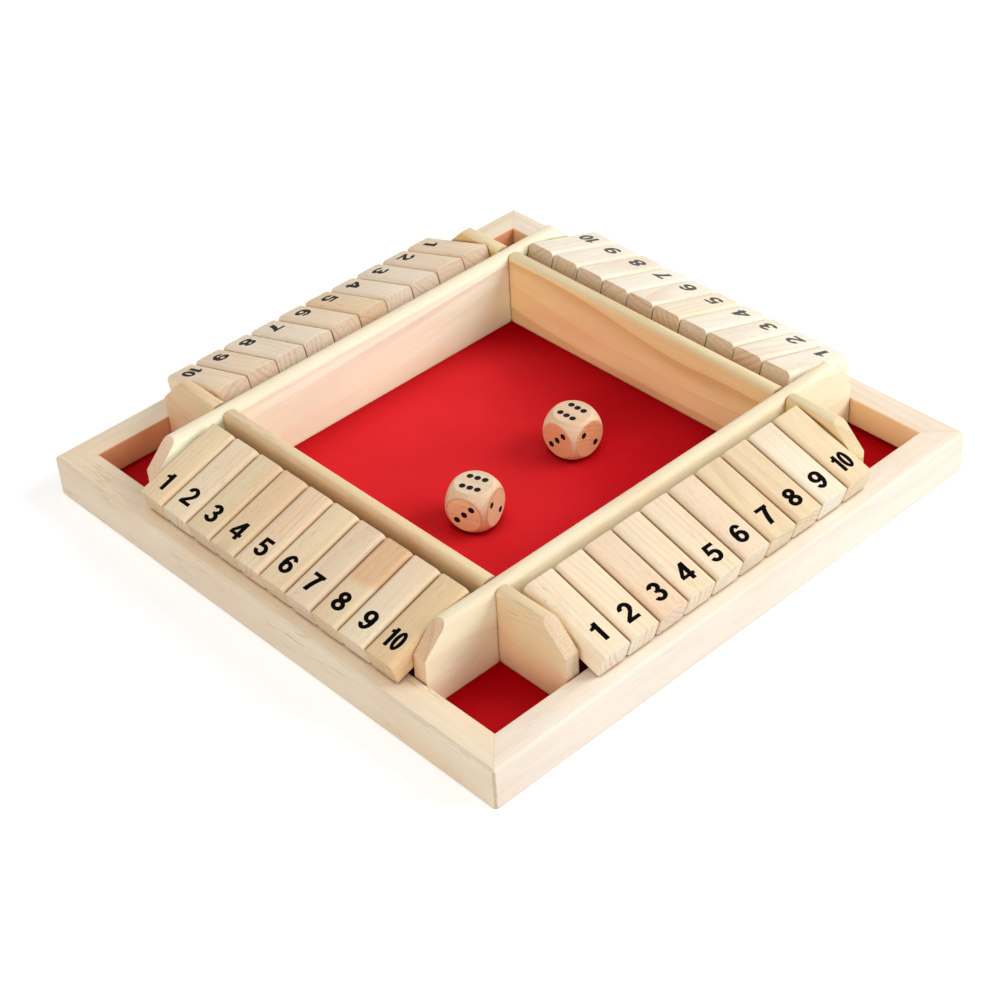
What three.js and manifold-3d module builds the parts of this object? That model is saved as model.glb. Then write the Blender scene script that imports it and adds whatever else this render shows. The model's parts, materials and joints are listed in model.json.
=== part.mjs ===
// A four-player shut the box game in pine: a mitred frame round a felt-covered base, four
// dividers that cross to make the dice tray, ten flaps on a steel rod at each side, and two
// wooden dice. Millimetres, +Z up. The origin is under the middle of the game, where it stands.
//
// Each side is built as the front one, at -Y, and turned into place. There x runs to the
// right of the player who sits at that side, and y runs from the player to the middle.
import * as THREE from "three";
import { mergeVertices } from "three/addons/utils/BufferGeometryUtils.js";
import Module from "manifold-3d";

const wasm = await Module();
wasm.setup();

// Frame
const gameWidth = 223; // outside of the frame, both ways
const railWidth = 11.5;
const railHeight = 16;
const railOuterRound = 2.5; // along the top edge that faces out
const railInnerRound = 0.8; // along the top edge that faces in
const railFootEase = 0.5; // along the two bottom edges
const cornerRound = 2.2; // of the four upright corners
const mitreClearance = 0.02; // of each rail from the diagonal of its corner

// Base panel, loose in a groove round the rails
const panelThickness = 3;
const panelLift = 1.5; // of its underside above the table
const grooveDepth = 4;
const grooveClearance = 0.15;
const panelEndClearance = 0.3;

// Felt on the panel, under the dividers
const feltThickness = 1;
const feltClearance = 0.1;

// Dividers, halved together where they cross
const rowDepth = 29.9; // from the frame to the divider, where the flaps lie
const dividerThickness = 5.5;
const dividerHeight = 29.4;
const dividerRound = 2.5; // along the two edges of the top
const dividerEndClearance = 0.1;
const earSlope = 10; // how far the cut at each end slopes, both along and down
const lapClearance = 0.1;

// Hinge rods, with their ends in blind holes in the ears
const rodDiameter = 3;
const rodBelowTop = 5; // of the divider
const rodFromDivider = 8.65; // to the face that it stands in front of
const socketDepth = 3;
const socketClearance = 0.1;
const rodEndClearance = 0.3;

// Flaps
const flapsPerRow = 10;
const flapThickness = 9.5;
const flapGap = 0.4; // between flaps
const rowEndGap = 0.15; // least gap between an end flap and its ear
const rowSlack = 1.6; // how far a row can slide along its rod
const rowSlideShares = { front: 1, right: 0.8, back: 1, left: 0.1 }; // of the slack
const flapRound = 2; // along the four long edges
const flapHeel = 4.5; // from the rod to the inner end
const flapOverRail = 5.8; // how far onto the rail the outer end lies
const boreClearance = 0.3;
const flapRestGap = 0.25; // under the outer end, where it lies on the rail

// Dice
const dieSize = 16;
const dieFlat = 13.4; // diameter of the flat circle on each face of a die
const pipWidth = 2.4;
const pipDepth = 0.5;
const pipPitch = 2.85;
const dieRestGap = 0.05; // above the felt
const dicePlaceShares = { die_left: [0.208, -0.419], die_right: [0.144, 0.364] }; // of half a tray
const diceTurn = { die_left: 19.4, die_right: 2.5 }; // degrees

const overrun = 1; // how far a cut runs past the face that it goes through

// Fineness of the round shapes
const edgeSteps = 3;
const topSteps = 5; // round the top of a divider
const roundSides = 16;
const ballSides = 24;
const ballRings = 16;
const pipSides = 8;
const pipRings = 6;

// Places that follow from the sizes
const frameInside = gameWidth / 2 - railWidth;
const panelTop = panelLift + panelThickness;
const feltTop = panelTop + feltThickness;
const trayHalf = frameInside - rowDepth - dividerThickness; // also to the ears along a row
const dividerPlace = trayHalf + dividerThickness / 2;
const dividerTop = feltTop + dividerHeight;
const dividerHalfLength = frameInside - dividerEndClearance;
const rodPlace = trayHalf + dividerThickness + rodFromDivider;
const rodHeight = dividerTop - rodBelowTop;
const rowWidth = 2 * (trayHalf - rowEndGap) - rowSlack;
const flapPitch = (rowWidth + flapGap) / flapsPerRow;
const flapWidth = flapPitch - flapGap;
const dieBall = Math.hypot(dieSize, dieFlat);

// From the rod to the place over the rail where a flap's lower outer edge comes down, which
// gives the flap its length and its tilt at rest.
const flapRun = frameInside + flapOverRail - rodPlace;
const flapDrop = rodHeight - railHeight - flapRestGap;
const flapReach = Math.sqrt(flapRun ** 2 + flapDrop ** 2 - (flapThickness / 2) ** 2);
const flapLength = flapHeel + flapReach;
const flapTilt = Math.atan2(flapDrop, flapRun) - Math.atan2(flapThickness / 2, flapReach);

const pine = { color: 0xe9d2ac, roughness: 0.6, metalness: 0 };
const flapPine = { color: 0xe6cda6, roughness: 0.65, metalness: 0 };
const plywood = { color: 0xd9bd92, roughness: 0.75, metalness: 0 };
const felt = { color: 0xc81e2b, roughness: 0.95, metalness: 0 };
const steel = { color: 0xb4b6ba, roughness: 0.3, metalness: 1 };
const dieWood = { color: 0xe2b98a, roughness: 0.45, metalness: 0 };

// A closed geometry as a solid that can be joined and cut.
function solid(geometry) {
  const bare = geometry.clone();
  bare.deleteAttribute("normal");
  bare.deleteAttribute("uv");
  const merged = mergeVertices(bare);
  return new wasm.Manifold(
    new wasm.Mesh({
      numProp: 3,
      vertProperties: merged.attributes.position.array,
      triVerts: new Uint32Array(merged.index.array),
    }),
  );
}

// A solid as a geometry with flat faces.
function faces(made) {
  const mesh = made.getMesh();
  const geometry = new THREE.BufferGeometry();
  geometry.setAttribute("position", new THREE.BufferAttribute(mesh.vertProperties, 3));
  geometry.setIndex(new THREE.BufferAttribute(mesh.triVerts, 1));
  const flat = geometry.toNonIndexed();
  flat.computeVertexNormals();
  return flat;
}

function piece(name, geometry, look) {
  const mesh = new THREE.Mesh(geometry, new THREE.MeshStandardMaterial(look));
  mesh.name = name;
  return mesh;
}

// A box between two corners.
function boxBetween(low, high) {
  const size = high.map((v, i) => v - low[i]);
  const middle = high.map((v, i) => (v + low[i]) / 2);
  return new THREE.BoxGeometry(...size).translate(...middle);
}

// A closed outline through corners given as [x, y, rounding], anticlockwise.
function outline(corners) {
  const shape = new THREE.Shape();
  const at = (i) => new THREE.Vector2(...corners[(i + corners.length) % corners.length]);
  corners.forEach(([x, y, rounding], i) => {
    const toward = (other) => at(other).sub(at(i)).setLength(rounding).add(at(i));
    const start = toward(i - 1);
    const end = toward(i + 1);
    if (i) shape.lineTo(start.x, start.y);
    else shape.moveTo(start.x, start.y);
    if (rounding) shape.quadraticCurveTo(x, y, end.x, end.y);
  });
  shape.closePath();
  return shape;
}

// One rail: its section from inside to outside of the frame, drawn out to the mitres, where
// each point is as far along the rail as it is from the middle of the game. The footprint of
// the whole frame then rounds its share of the two upright corners.
function railGeometry() {
  const outside = frameInside + railWidth;
  const grooveEnd = frameInside + grooveDepth;
  const grooveLow = panelLift - grooveClearance;
  const grooveHigh = panelTop + grooveClearance;
  const section = outline([
    [frameInside, 0, railFootEase],
    [outside, 0, railFootEase],
    [outside, railHeight, railOuterRound],
    [frameInside, railHeight, railInnerRound],
    [frameInside, grooveHigh, 0],
    [grooveEnd, grooveHigh, 0],
    [grooveEnd, grooveLow, 0],
    [frameInside, grooveLow, 0],
  ]);
  const geometry = new THREE.ExtrudeGeometry(section, {
    depth: 1,
    bevelEnabled: false,
    curveSegments: edgeSteps,
  });
  const points = geometry.attributes.position;
  for (let i = 0; i < points.count; i++) {
    const fromMiddle = points.getX(i);
    const end = points.getZ(i) ? -1 : 1;
    points.setXYZ(i, end * (fromMiddle - mitreClearance), -fromMiddle, points.getY(i));
  }
  const footprint = new THREE.ExtrudeGeometry(
    outline([
      [-outside, -outside, cornerRound],
      [outside, -outside, cornerRound],
      [outside, outside, cornerRound],
      [-outside, outside, cornerRound],
    ]),
    { depth: railHeight + 2 * overrun, bevelEnabled: false, curveSegments: edgeSteps },
  );
  footprint.translate(0, 0, -overrun);
  return faces(solid(geometry).intersect(solid(footprint)));
}

// One divider: a board with a rounded top, sawn off at a slope at each end, which makes its
// ears. It is slotted to half its height where it crosses its neighbours, and bored in the face
// towards the middle for the rods of the two rows beside its own.
function dividerGeometry(slotsFromTop) {
  const end = dividerHalfLength;
  const front = -dividerPlace - dividerThickness / 2;
  const back = -dividerPlace + dividerThickness / 2;
  const section = outline([
    [front, feltTop, 0],
    [back, feltTop, 0],
    [back, dividerTop, dividerRound],
    [front, dividerTop, dividerRound],
  ]);
  const board = new THREE.ExtrudeGeometry(section, {
    depth: 2 * (end + overrun),
    bevelEnabled: false,
    curveSegments: topSteps,
  });
  board.rotateX(Math.PI / 2);
  board.rotateZ(Math.PI / 2);
  board.translate(-end - overrun, 0, 0);

  const past = end - earSlope - overrun;
  const side = outline([
    [-end, feltTop - overrun, 0],
    [end, feltTop - overrun, 0],
    [end, dividerTop - earSlope, 0],
    [past, dividerTop + overrun, 0],
    [-past, dividerTop + overrun, 0],
    [-end, dividerTop - earSlope, 0],
  ]);
  const sawn = new THREE.ExtrudeGeometry(side, {
    depth: dividerThickness + 2 * overrun,
    bevelEnabled: false,
  });
  sawn.rotateX(Math.PI / 2);
  sawn.translate(0, back + overrun, 0);
  let made = solid(board).intersect(solid(sawn));

  const lapHeight = feltTop + dividerHeight / 2;
  const slotLow = slotsFromTop ? lapHeight - lapClearance : feltTop - overrun;
  const slotHigh = slotsFromTop ? dividerTop + overrun : lapHeight + lapClearance;
  const slotHalf = dividerThickness / 2 + lapClearance;
  for (const place of [-dividerPlace, dividerPlace]) {
    const slot = boxBetween(
      [place - slotHalf, front - overrun, slotLow],
      [place + slotHalf, back + overrun, slotHigh],
    );
    made = made.subtract(solid(slot));
  }

  const socketRadius = rodDiameter / 2 + socketClearance;
  for (const place of [-rodPlace, rodPlace]) {
    const socket = new THREE.CylinderGeometry(
      socketRadius,
      socketRadius,
      socketDepth + overrun,
      roundSides,
    );
    socket.translate(place, back + (overrun - socketDepth) / 2, rodHeight);
    made = made.subtract(solid(socket));
  }
  return faces(made);
}

// One rod, along x through its own middle.
function rodGeometry() {
  const length = 2 * (trayHalf + socketDepth - rodEndClearance);
  const rod = new THREE.CylinderGeometry(rodDiameter / 2, rodDiameter / 2, length, roundSides);
  return rod.rotateZ(Math.PI / 2);
}

// One flap, lying level: x across it, y along it with the inner end at +y, and the rod's
// axis through the origin.
function flapGeometry() {
  const across = flapWidth / 2;
  const up = flapThickness / 2;
  const section = outline([
    [-across, -up, flapRound],
    [across, -up, flapRound],
    [across, up, flapRound],
    [-across, up, flapRound],
  ]);
  const block = new THREE.ExtrudeGeometry(section, {
    depth: flapLength,
    bevelEnabled: false,
    curveSegments: edgeSteps,
  });
  block.rotateX(Math.PI / 2);
  block.translate(0, flapHeel, 0);
  const boreRadius = rodDiameter / 2 + boreClearance;
  const bore = new THREE.CylinderGeometry(
    boreRadius,
    boreRadius,
    flapWidth + 2 * overrun,
    roundSides,
  );
  bore.rotateZ(Math.PI / 2);
  return faces(solid(block).subtract(solid(bore)));
}

// Where the pips of each number lie, as shares of the pitch from the middle of their face.
const pipShares = {
  1: [[0, 0]],
  2: [-1, 1].map((a) => [a, a]),
  3: [-1, 0, 1].map((a) => [a, a]),
  4: [-1, 1].flatMap((a) => [-1, 1].map((b) => [a, b])),
  5: [[0, 0], ...[-1, 1].flatMap((a) => [-1, 1].map((b) => [a, b]))],
  6: [-1, 1].flatMap((b) => [-1, 0, 1].map((a) => [a, b])),
};

// Which way each number's face looks on a die that shows six, and the turn of its pips.
const pipFaces = {
  6: new THREE.Euler(0, 0, 0),
  1: new THREE.Euler(Math.PI, 0, 0),
  3: new THREE.Euler(Math.PI / 2, 0, 0),
  4: new THREE.Euler(-Math.PI / 2, 0, 0),
  2: new THREE.Euler(0, Math.PI / 2, 0),
  5: new THREE.Euler(0, -Math.PI / 2, 0),
};

// One die about its own middle: a cube rounded by a ball, with a hollow for each pip.
function dieGeometry() {
  const cube = new THREE.BoxGeometry(dieSize, dieSize, dieSize);
  const ball = new THREE.SphereGeometry(dieBall / 2, ballSides, ballRings);
  let made = solid(cube).intersect(solid(ball));
  const cutterRadius = ((pipWidth / 2) ** 2 + pipDepth ** 2) / (2 * pipDepth);
  for (const [number, turn] of Object.entries(pipFaces)) {
    for (const [a, b] of pipShares[number]) {
      const cutter = new THREE.SphereGeometry(cutterRadius, pipSides, pipRings);
      cutter.rotateX(Math.PI / 2);
      cutter.translate(a * pipPitch, b * pipPitch, dieSize / 2 + cutterRadius - pipDepth);
      cutter.applyMatrix4(new THREE.Matrix4().makeRotationFromEuler(turn));
      made = made.subtract(solid(cutter));
    }
  }
  return faces(made);
}

// The panel and the felt that lies on it.
function base() {
  const group = new THREE.Group();
  const panelHalf = frameInside + grooveDepth - panelEndClearance;
  const feltHalf = frameInside - feltClearance;
  group.add(
    piece(
      "base_panel",
      boxBetween([-panelHalf, -panelHalf, panelLift], [panelHalf, panelHalf, panelTop]),
      plywood,
    ),
    piece(
      "felt_liner",
      boxBetween([-feltHalf, -feltHalf, panelTop], [feltHalf, feltHalf, feltTop]),
      felt,
    ),
  );
  return group;
}

// One side of the game, as the front one: rail, divider, rod and ten flaps.
function side(name, slotsFromTop) {
  const group = new THREE.Group();
  const rod = piece("hinge_rod_" + name, rodGeometry(), steel);
  rod.position.set(0, -rodPlace, rodHeight);
  group.add(
    piece("rail_" + name, railGeometry(), pine),
    piece("divider_" + name, dividerGeometry(slotsFromTop), pine),
    rod,
  );
  const rowStart = rowEndGap + rowSlack * rowSlideShares[name] - trayHalf;
  for (let i = 0; i < flapsPerRow; i++) {
    const flap = piece("flap_" + name + "_" + (i + 1), flapGeometry(), flapPine);
    const across = rowStart + i * flapPitch + flapWidth / 2;
    flap.position.set(across, -rodPlace, rodHeight);
    flap.rotation.x = flapTilt;
    group.add(flap);
  }
  return group;
}

function dice() {
  const group = new THREE.Group();
  for (const [name, [x, y]] of Object.entries(dicePlaceShares)) {
    const die = piece(name, dieGeometry(), dieWood);
    die.position.set(x * trayHalf, y * trayHalf, feltTop + dieRestGap + dieSize / 2);
    die.rotation.z = THREE.MathUtils.degToRad(diceTurn[name]);
    group.add(die);
  }
  return group;
}

const game = new THREE.Group();
game.add(base(), dice());
["front", "right", "back", "left"].forEach((name, i) => {
  const slotsFromTop = i % 2 === 0;
  const turned = side(name, slotsFromTop);
  turned.rotation.z = (i * Math.PI) / 2;
  game.add(turned);
});

export default game;
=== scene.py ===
"""The looks of a four-player shut the box game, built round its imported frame. Metres.

Each side is made as the front one, at -Y, and turned into place, as in the CAD. There x runs
to the right of the player who sits at that side, and y from the player to the middle.
"""
import json
import math
import random

import bmesh
import bpy
from mathutils import Matrix, Vector
from mathutils.geometry import delaunay_2d_cdt


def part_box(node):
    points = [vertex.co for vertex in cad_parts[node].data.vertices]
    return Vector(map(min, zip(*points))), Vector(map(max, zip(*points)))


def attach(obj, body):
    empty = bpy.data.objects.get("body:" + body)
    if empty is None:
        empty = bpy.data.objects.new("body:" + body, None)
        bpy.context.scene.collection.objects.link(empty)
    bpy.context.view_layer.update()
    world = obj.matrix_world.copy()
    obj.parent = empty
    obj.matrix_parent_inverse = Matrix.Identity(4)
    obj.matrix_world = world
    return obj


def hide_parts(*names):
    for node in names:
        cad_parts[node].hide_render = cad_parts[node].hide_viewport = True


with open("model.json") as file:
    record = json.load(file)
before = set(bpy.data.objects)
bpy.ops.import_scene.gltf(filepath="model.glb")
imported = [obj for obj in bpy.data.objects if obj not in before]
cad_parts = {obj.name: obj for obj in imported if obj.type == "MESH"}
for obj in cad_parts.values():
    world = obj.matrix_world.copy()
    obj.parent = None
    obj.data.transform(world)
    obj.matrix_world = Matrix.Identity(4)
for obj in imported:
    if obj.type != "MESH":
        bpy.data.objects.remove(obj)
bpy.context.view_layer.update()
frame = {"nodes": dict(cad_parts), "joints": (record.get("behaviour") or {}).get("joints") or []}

MM = 0.001
SIDES = ["front", "right", "back", "left"]
FLAPS_PER_ROW = 10

# Flap, as in the CAD, and how strongly its rings show at least and at most
FLAP_WIDTH = 12.37 * MM
FLAP_THICKNESS = 9.5 * MM
FLAP_HEEL = 4.5 * MM
FLAP_REACH = 29.92 * MM
FLAP_ROUND = 2.0 * MM
FLAP_EASE = 0.35 * MM
FLAP_TILT = math.radians(17.76)
FLAP_FIGURE = (0.5, 1.3)
BORE_WIDTH = 3.6 * MM
EASE_STEPS = 4
ROUND_STEPS = 6
BORE_STEPS = 40

# How far at most each flap lies from its place in the CAD: flatter, aside, and to its outer
# end. None of these lifts it.
FLAP_SAG = math.radians(0.4)
FLAP_ASIDE = 0.1 * MM
FLAP_OUT = 0.15 * MM

# Numbers, printed near the outer end, and how far at most each lies from its place
NUMBER_HEIGHT = 7.2 * MM
NUMBER_FROM_ROD = 21.6 * MM
NUMBER_ASIDE = 0.25 * MM
NUMBER_ALONG = 0.2 * MM
INK_THICKNESS = 0.03 * MM
INK_SINK = 0.02 * MM

# Dice. The paint has a ragged edge. It thins out from inside the pip's edge to outside it.
DIE_SIZE = 16 * MM
DIE_FLAT = 13.4 * MM
DIE_RIM = 0.22 * MM
DIE_RING = 0.8 * MM
DIE_STEPS = 72
DIE_WELD = 0.001 * MM
PIP_WIDTH = 2.4 * MM
PIP_DEPTH = 0.45 * MM
PIP_PITCH = 2.85 * MM
PAINT_RAGGED = 0.16 * MM
PAINT_SPILL = 0.02 * MM
PAINT_THIN = 0.06 * MM
DICE_TURN = {"die_left": math.radians(19.4), "die_right": math.radians(2.5)}

# Felt
FELT_STEPS = 80
FELT_UNEVEN = 0.03 * MM
FELT_SEED = 11

# CAD nodes: how close two points are one, from which angle an edge is eased or shaded as
# sharp, and how wide each kind of piece is eased
WELD_REACH = 0.002 * MM
EASED_ANGLE = math.radians(40)
SHARP_ANGLE = math.radians(32)
EASE_SEGMENTS = 2
DIVIDER_EASE = 0.2 * MM
ROD_EASE = 0.15 * MM
PANEL_EASE = 0.15 * MM

# Camera, as it was for the photograph
LENS = 78.6
SENSOR = 36
CAMERA_TARGET = Vector((0.00649, -0.00957, 0))
CAMERA_AWAY = 0.75467
CAMERA_AZIMUTH = math.radians(48.6592)
CAMERA_ELEVATION = math.radians(38.3511)
CAMERA_ROLL = math.radians(-3.732)

# Light: the sky's strength, the floor's own, and each lamp's direction from the game and power
SKY = 0.5
FLOOR_GLOW = 0.42
FLOOR_WHITE = (0.86, 0.86, 0.86, 1)
FLOOR_HALF = 6.0
LAMP_AWAY = 1.6
LAMP_SIZE = 1.05
LAMP_COLOUR = (1.0, 0.985, 0.96)
LAMPS = {
    "key": ((0.6, 0.68, 0.55), 19.5),
    "fill": ((0.2, -0.85, 0.35), 7.2),
}


class Shader:
    """The node tree of a new material or world, with short calls to add to it."""

    def __init__(self, owner):
        owner.use_nodes = True
        self.owner = owner
        self.tree = owner.node_tree
        self.tree.nodes.clear()

    def add(self, kind, inputs=None, **settings):
        node = self.tree.nodes.new(kind)
        for key, value in settings.items():
            setattr(node, key, value)
        for key, value in (inputs or {}).items():
            if isinstance(value, bpy.types.NodeSocket):
                self.tree.links.new(value, node.inputs[key])
            else:
                node.inputs[key].default_value = value
        return node

    def math(self, operation, *values):
        node = self.add("ShaderNodeMath", dict(enumerate(values)), operation=operation)
        return node.outputs[0]

    def vector(self, operation, *values):
        node = self.add("ShaderNodeVectorMath", dict(enumerate(values)), operation=operation)
        return node.outputs["Value" if operation == "DOT_PRODUCT" else "Vector"]

    def scale(self, colour, factor):
        """colour, made brighter or darker."""
        node = self.add("ShaderNodeVectorMath", {0: colour, 3: factor}, operation="SCALE")
        return node.outputs[0]

    def mix(self, factor, a, b, blend="MIX"):
        node = self.add("ShaderNodeMix", {0: factor, 6: a, 7: b}, data_type="RGBA", blend_type=blend)
        return node.outputs[2]

    def tinted(self, share, colour, tint):
        """colour, with a share of it multiplied by the tint."""
        return self.mix(share, colour, self.mix(1.0, colour, tint, "MULTIPLY"))

    def band(self, value, low, high, out_low=0.0, out_high=1.0):
        """value, mapped smoothly from between low and high."""
        node = self.add(
            "ShaderNodeMapRange",
            {0: value, 1: low, 2: high, 3: out_low, 4: out_high},
            interpolation_type="SMOOTHSTEP",
        )
        return node.outputs[0]

    def noise(self, vector, scale=1.0, detail=2.0, rough=0.5):
        inputs = {"Vector": vector, "Scale": scale, "Detail": detail, "Roughness": rough}
        return self.add("ShaderNodeTexNoise", inputs).outputs[0]

    def swing(self, noise, size):
        """A noise made to swing about zero, over size in all."""
        return self.math("MULTIPLY", self.math("SUBTRACT", noise, 0.5), size)

    def summed(self, *parts):
        """The sum of some values, each times its own share."""
        total, *others = (self.math("MULTIPLY", value, share) for value, share in parts)
        for other in others:
            total = self.math("ADD", total, other)
        return total

    def bump(self, height, strength, distance):
        inputs = {"Strength": strength, "Distance": distance, "Height": height}
        return self.add("ShaderNodeBump", inputs).outputs[0]

    def own(self, name, output="Fac"):
        """A value that each object holds for itself."""
        node = self.add("ShaderNodeAttribute", attribute_type="OBJECT", attribute_name=name)
        return node.outputs[output]

    def of_mesh(self, name):
        """A value that a mesh holds for each of its vertices."""
        node = self.add("ShaderNodeAttribute", attribute_type="GEOMETRY", attribute_name=name)
        return node.outputs["Fac"]

    def place(self):
        return self.add("ShaderNodeTexCoord").outputs["Object"]

    def facing(self):
        return self.add("ShaderNodeTexCoord").outputs["Normal"]

    def split(self, vector):
        return self.add("ShaderNodeSeparateXYZ", {0: vector}).outputs

    def open_air(self, reach, samples):
        """1 in the open, and less the more stands within reach."""
        node = self.add("ShaderNodeAmbientOcclusion", {"Distance": reach}, samples=samples)
        return node.outputs["AO"]

    def seen(self):
        """1 for what the camera sees, straight or by reflection, and 0 for any other light."""
        rays = self.add("ShaderNodeLightPath").outputs
        share = rays["Is Camera Ray"]
        for ray in ("Is Glossy Ray", "Is Transmission Ray"):
            share = self.math("MAXIMUM", share, rays[ray])
        return share

    def to_output(self, node, output="ShaderNodeOutputMaterial"):
        """Leads a node to the tree's output, and returns what the tree belongs to."""
        self.add(output, {"Surface": node.outputs[0]})
        return self.owner

    def surface(self, **inputs):
        names = {key.replace("_", " "): value for key, value in inputs.items()}
        return self.to_output(self.add("ShaderNodeBsdfPrincipled", names))


def material_shader(name):
    return Shader(bpy.data.materials.new(name))


def rgb(red, green, blue):
    """A colour given as it looks on a screen, from 0 to 255, made linear."""
    def linear(value):
        value = value / 255
        return value / 12.92 if value <= 0.04045 else ((value + 0.055) / 1.055) ** 2.4
    return (linear(red), linear(green), linear(blue), 1.0)


# Wood's light, dark and blushed colours, by what is made of it
FLAP_COLOURS = (rgb(243, 225, 196), rgb(208, 166, 120), rgb(252, 228, 214))
FRAME_COLOURS = (rgb(245, 228, 200), rgb(214, 170, 120), rgb(252, 228, 212))
PANEL_COLOURS = (rgb(214, 186, 146), rgb(184, 142, 98), rgb(250, 226, 206))
DIE_COLOURS = (rgb(242, 220, 192), rgb(220, 172, 130), rgb(255, 230, 214))

# Other colours. Where there are two, the material varies between them.
FELT_COLOURS = (rgb(224, 12, 26), rgb(236, 24, 37))
FELT_SHADED = rgb(162, 1, 9)
STEEL_COLOURS = (rgb(196, 198, 202), rgb(160, 158, 156))
INK_COLOURS = (rgb(2, 2, 2), rgb(9, 8, 7))
INK_GLARE_GREY = rgb(98, 93, 88)
PIP_PAINT = rgb(18, 17, 17)

# Tints, as what they leave of a colour: of flecks in wood, of painted shade in its seams, of the planed
# flat on top of a die, and of the ring round each flat
FLECK = (0.62, 0.5, 0.38, 1)
SEAM_SHADE_TINT = (0.42, 0.27, 0.16, 1)
DIE_TOP = (0.97, 0.96, 0.98, 1)
DIE_RING_TINT = (0.9, 0.72, 0.5, 1)

# Wood's noises, in cells per metre: along the grain and across it, or the same both ways.
# DASH has cells per fleck instead. A shift takes a noise to a place of its own.
WANDER = (9, 34)
FIBRE = (90, 2600)
THREAD = (420, 7000)
CLOUD = (22, 60)
TINT = (14, 45)
TINT_SHIFT = (0.7, 0.3, 0.1)
CROWD = (30, 90)
CROWD_SHIFT = (0.2, 0.9, 0.4)
DASH = (1.2, 20)
SPECK = 1900

# Wood's rings: how far off their middle is, how they slope to the grain, and how often
# they change from faint to strong
PITH_AWAY = (22 * MM, 60 * MM)
PITH_SLOPE = 0.03
YEARS_PER_PITCH = 0.31

# Where on a board each of its tones starts and is full: by how far a face lies from the
# game's middle, counted the way that it looks, by the height above the table, and by the
# place along a flap, with a ragged edge
FACES_IN = (-0.02, -0.05)
FACES_OUT = (0.055, 0.065)
FOOT_HEIGHTS = (28 * MM, 6 * MM)
HEART_PLACES = (-17 * MM, -13 * MM)
HEART_SWING = 30 * MM

# How far painted shade reaches from a seam, and wear from an edge
SEAM_REACH = 1.5 * MM
WEAR_REACH = 0.8 * MM

# Wood's bands: from where something starts to show to where it shows in full. Two more
# numbers are what it then counts for at these two places, in place of 0 and 1.
RING_DARKENS = (0.25, 0.88)
RING_ENDS = (1.0, 0.93)
YEAR_STRENGTH = (0.38, 0.62, 0.2, 1.0)
DASH_SHOWS = (0.62, 0.72)
CROWD_SHOWS = (0.44, 0.62)
EDGE_BENDS = (0.995, 0.9)
WEAR_BY_TINT = (0.35, 0.6, -0.03, 0.12)
BLUSH_BY_TINT = (0.45, 0.75, 0.0, 0.5)
DARK_ENDS = (0.2, 0.8, 0.2, 0.55)
END_SPECKS = (0.35, 0.65, 0.04, 0.2)
SEAM_SHADE_SHOWS = (0.8, 0.2, 0.0, 0.85)

# How much each thing adds to wood's shade, to its height and to its roughness
FIBRE_SHADE = 2.4
THREAD_SHADE = 1.2
CLOUD_SHADE = 0.2
FLECK_SHADE = 0.8
END_SHADE = 0.7
FIBRE_HEIGHT = 0.6
THREAD_HEIGHT = 0.4
FLECK_DEPTH = 0.8
LATE_HEIGHT = 0.15
FIBRE_ROUGHNESS = 0.3

# Dice: which faces count as level, and how much the ring shows on upright and level ones
DIE_LEVEL = (0.5, 0.9)
DIE_RING_SHOWS = (0.0, 1.0, 2.0, 0.6)

# Noises of the other materials, in cells per metre
NAP = 2600
NAP_CURL = (900, 5200, 3000)
FELT_PATCH = 55
STEEL_LINES = (60, 9000)
STEEL_STAIN = 220
INK_GRAIN = (4000, 300, 4000)
PAINT_EDGE = 2200

# Felt's painted shade: how near a wall darkens it, the way to the back, and the places along that way
# where it is deep and where it is bright. Brightness and sheen have a start there and a rise.
FELT_SHADE_REACH = 30 * MM
FELT_TO_BACK = (0.45, 0.9, 0)
FELT_NEAR_PLACES = (45 * MM, -5 * MM)
FELT_BRIGHT = (0.79, 0.21)
FELT_SHEEN = (0.03, 0.07)

# How much each of the felt's noises adds to its shade, and the curl to its height
NAP_SHADE = 0.24
CURL_SHADE = 0.12
PATCH_SHADE = 0.16
CURL_HEIGHT = 0.5

# Bands of the other materials, as those of wood
FELT_PALES = (0.16, 0.36)
FELT_OPENS = (0.3, 0.82)
FELT_ROUGHNESS = (0.3, 0.7, 0.85, 1.0)
STEEL_STAINS = (0.4, 0.7)
STEEL_ROUGHNESS = (0.3, 0.7, 0.24, 0.42)
INK_THINS = (0.5, 0.8)
INK_ROUGHNESS = (0.3, 0.7, 0.5, 0.66)

# Bumps: how strong, and how high
WOOD_BUMP = (0.35, 0.05 * MM)
FELT_BUMP = (0.5, 0.12 * MM)
STEEL_BUMP = (0.2, 0.02 * MM)
INK_BUMP = (0.2, 0.03 * MM)


def turned_to_grain(shader, vector):
    """vector, turned so that the object's grain lies along x."""
    inputs = {"Vector": vector, "Angle": shader.own("grain_turn")}
    return shader.add("ShaderNodeVectorRotate", inputs).outputs[0]


def grain_space(shader):
    """Coordinates with the grain along x, moved to a place of each object's own."""
    turned = turned_to_grain(shader, shader.place())
    return shader.vector("ADD", turned, shader.own("seed_place", "Vector"))


def stretched(shader, place, along, across):
    """place, scaled along the grain and across it."""
    return shader.vector("MULTIPLY", place, (along, across, across))


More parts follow.
